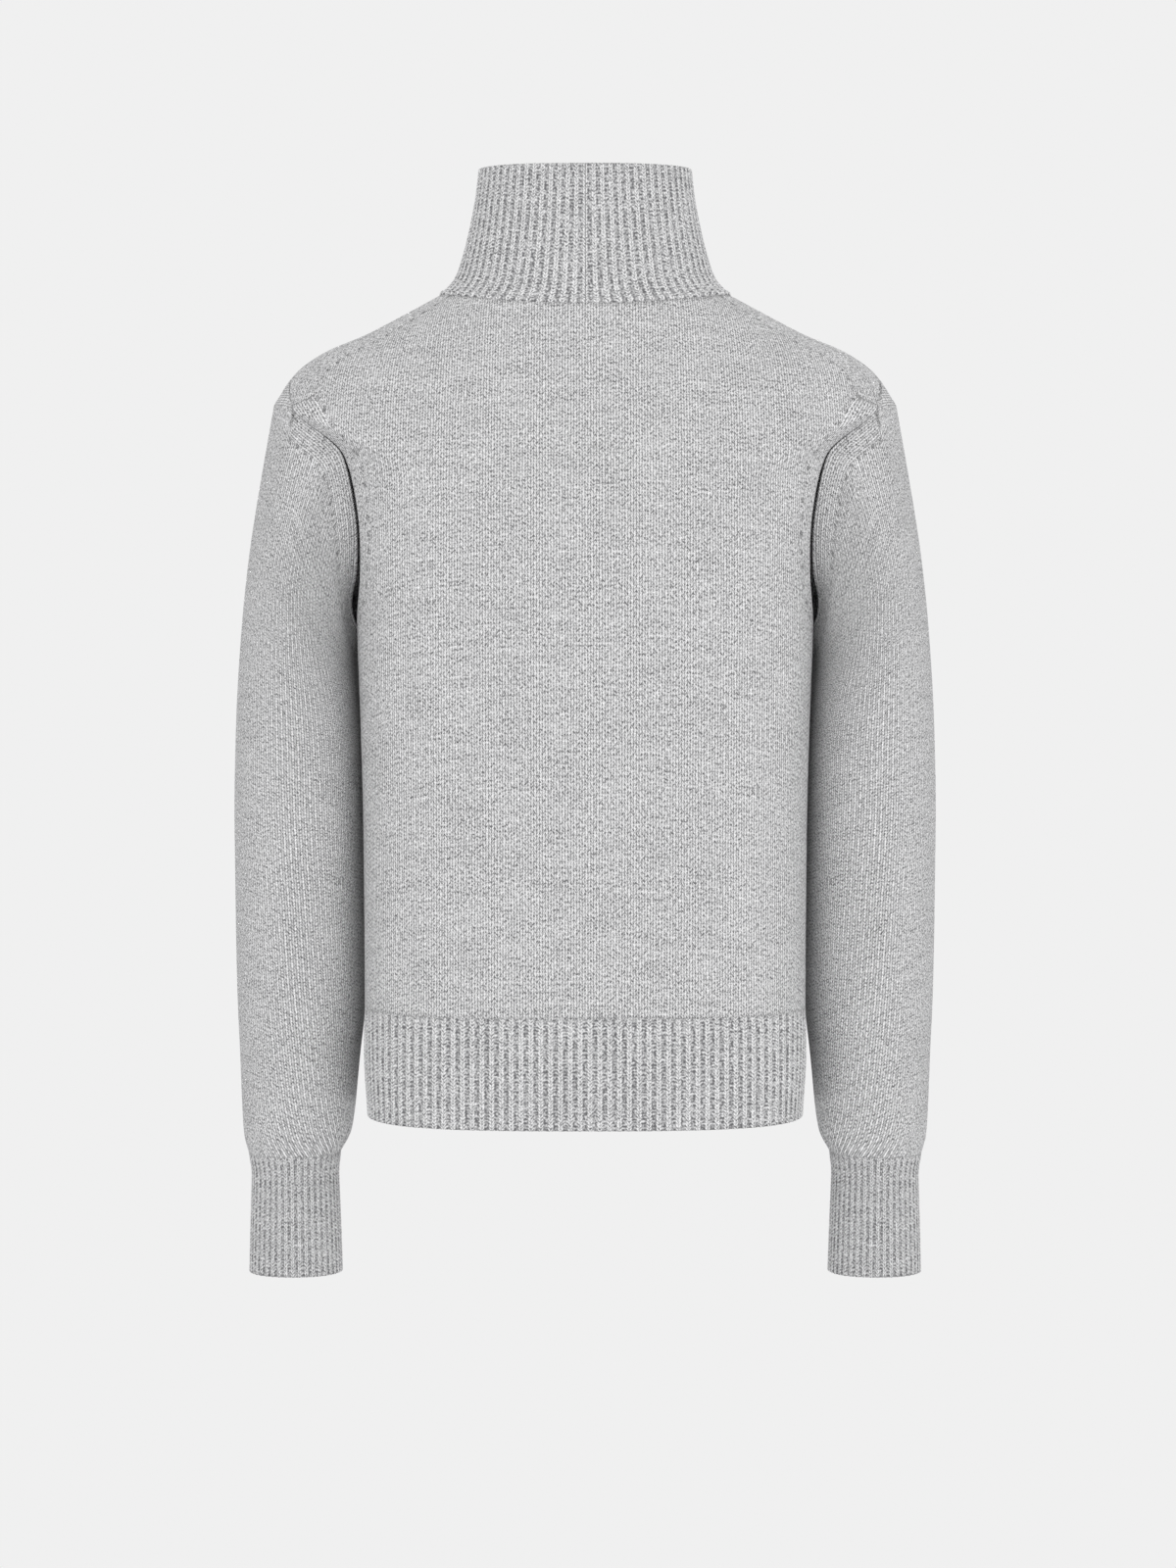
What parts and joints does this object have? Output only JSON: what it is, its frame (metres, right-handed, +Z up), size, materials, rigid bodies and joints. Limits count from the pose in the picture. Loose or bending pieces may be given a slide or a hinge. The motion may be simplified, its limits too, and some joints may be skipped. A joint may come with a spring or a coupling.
{
  "type": "zip-up sweater",
  "caption": "Hollow knitted sweater with a full-length front zip, high stand-up ribbed collar, long sleeves and ribbed hem and cuffs.",
  "frame": {"origin": "middle of the neck opening, level with the points where the shoulders meet the collar", "axes": "+Z up along the wearer's spine, -Y out of the front with the zip, +X towards the wearer's left sleeve"},
  "size_m": [0.488, 0.228, 0.7698],
  "materials": {
    "knit": "matt melange wool in plain knit",
    "rib": "matt melange wool in 1x1 rib",
    "zip_tape": "woven tape",
    "zip_metal": "satin"
  },
  "bodies": {
    "garment": {"back_panel": "knit", "left_front": "knit", "right_front": "knit", "left_sleeve": "knit", "right_sleeve": "knit", "back_hem_rib": "rib", "left_front_hem_rib": "rib", "right_front_hem_rib": "rib", "collar": "rib", "left_cuff": "rib", "right_cuff": "rib", "left_zip_tape": "zip_tape", "right_zip_tape": "zip_tape", "left_zip_teeth": "zip_metal", "right_zip_teeth": "zip_metal", "left_zip_top_stop": "zip_metal", "right_zip_top_stop": "zip_metal", "zip_box": "zip_metal", "zip_slider": "zip_metal"},
    "pull_tab": {"zip_pull": "zip_metal"}
  },
  "joints": [
    {"name": "pull_tab_hinge", "type": "hinge", "parent": "garment", "child": "pull_tab", "pos_m": [0, -0.0719, 0.03405], "axis": [-1, 0, 0], "range_deg": [0, 170]}
  ]
}
